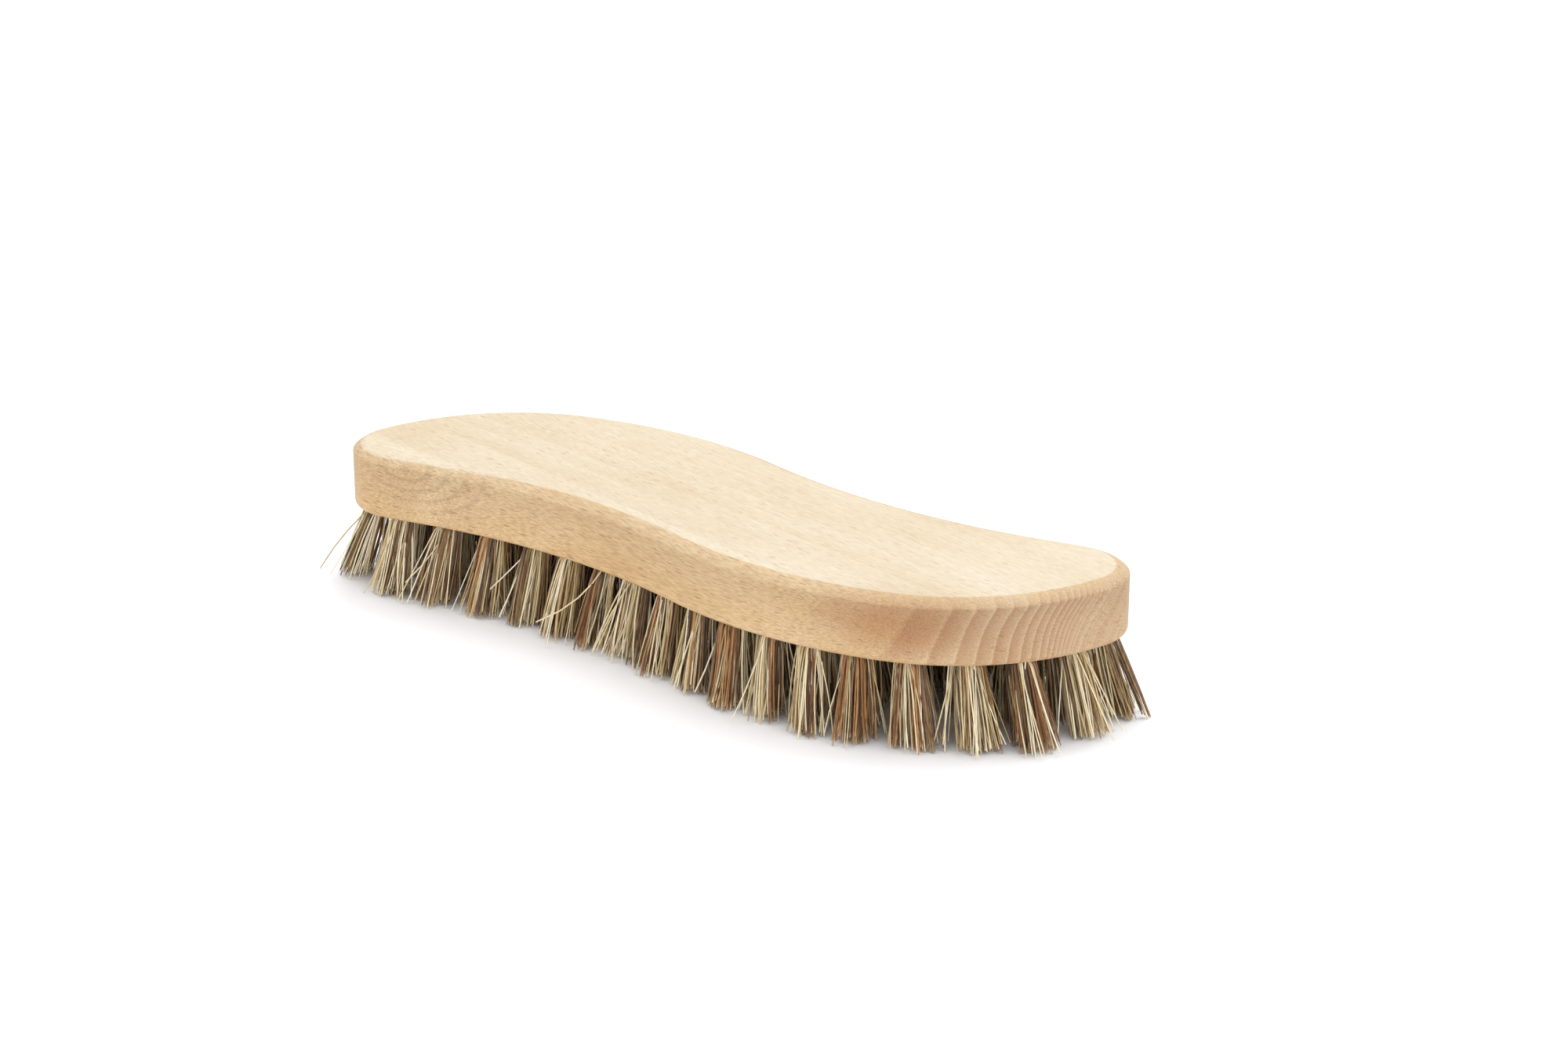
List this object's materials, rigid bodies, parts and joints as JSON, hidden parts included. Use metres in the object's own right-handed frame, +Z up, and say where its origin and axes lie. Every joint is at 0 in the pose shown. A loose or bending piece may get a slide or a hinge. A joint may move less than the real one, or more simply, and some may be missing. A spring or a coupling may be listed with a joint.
{
  "type": "scrubbing brush",
  "caption": "S-shaped beech scrubbing brush with a flat top, rounded edges and splayed tufts of stiff mixed plant fibre set in blind holes.",
  "frame": {"origin": "on the ground under the middle of the S, at the centre of the box's bottom face, where the bristle tips stand", "axes": "+X along the brush, +Y across it, +Z up from the bristle tips to the flat top of the wood"},
  "size_m": [0.2346, 0.0746, 0.0416],
  "materials": {
    "beech": "bare sanded beech, matt, with fine dark ray flecks",
    "union_fibre": "stiff mixed plant fibre, straw, red-brown and grey-brown strands, dull sheen"
  },
  "bodies": {
    "root": {"beech_block": "beech", "outer_tuft_01": "union_fibre", "outer_tuft_02": "union_fibre", "outer_tuft_03": "union_fibre", "outer_tuft_04": "union_fibre", "outer_tuft_05": "union_fibre", "outer_tuft_06": "union_fibre", "outer_tuft_07": "union_fibre", "outer_tuft_08": "union_fibre", "outer_tuft_09": "union_fibre", "outer_tuft_10": "union_fibre", "outer_tuft_11": "union_fibre", "outer_tuft_12": "union_fibre", "outer_tuft_13": "union_fibre", "outer_tuft_14": "union_fibre", "outer_tuft_15": "union_fibre", "outer_tuft_16": "union_fibre", "outer_tuft_17": "union_fibre", "outer_tuft_18": "union_fibre", "outer_tuft_19": "union_fibre", "outer_tuft_20": "union_fibre", "outer_tuft_21": "union_fibre", "outer_tuft_22": "union_fibre", "outer_tuft_23": "union_fibre", "outer_tuft_24": "union_fibre", "outer_tuft_25": "union_fibre", "outer_tuft_26": "union_fibre", "outer_tuft_27": "union_fibre", "outer_tuft_28": "union_fibre", "outer_tuft_29": "union_fibre", "outer_tuft_30": "union_fibre", "outer_tuft_31": "union_fibre", "outer_tuft_32": "union_fibre", "outer_tuft_33": "union_fibre", "outer_tuft_34": "union_fibre", "outer_tuft_35": "union_fibre", "outer_tuft_36": "union_fibre", "inner_tufts_01": "union_fibre", "inner_tufts_02": "union_fibre", "inner_tufts_03": "union_fibre", "inner_tufts_04": "union_fibre", "inner_tufts_05": "union_fibre", "inner_tufts_06": "union_fibre", "inner_tufts_07": "union_fibre", "inner_tufts_08": "union_fibre", "inner_tufts_09": "union_fibre", "inner_tufts_10": "union_fibre", "inner_tufts_11": "union_fibre", "inner_tufts_12": "union_fibre", "inner_tufts_13": "union_fibre", "inner_tufts_14": "union_fibre", "inner_tufts_15": "union_fibre"}
  },
  "joints": []
}
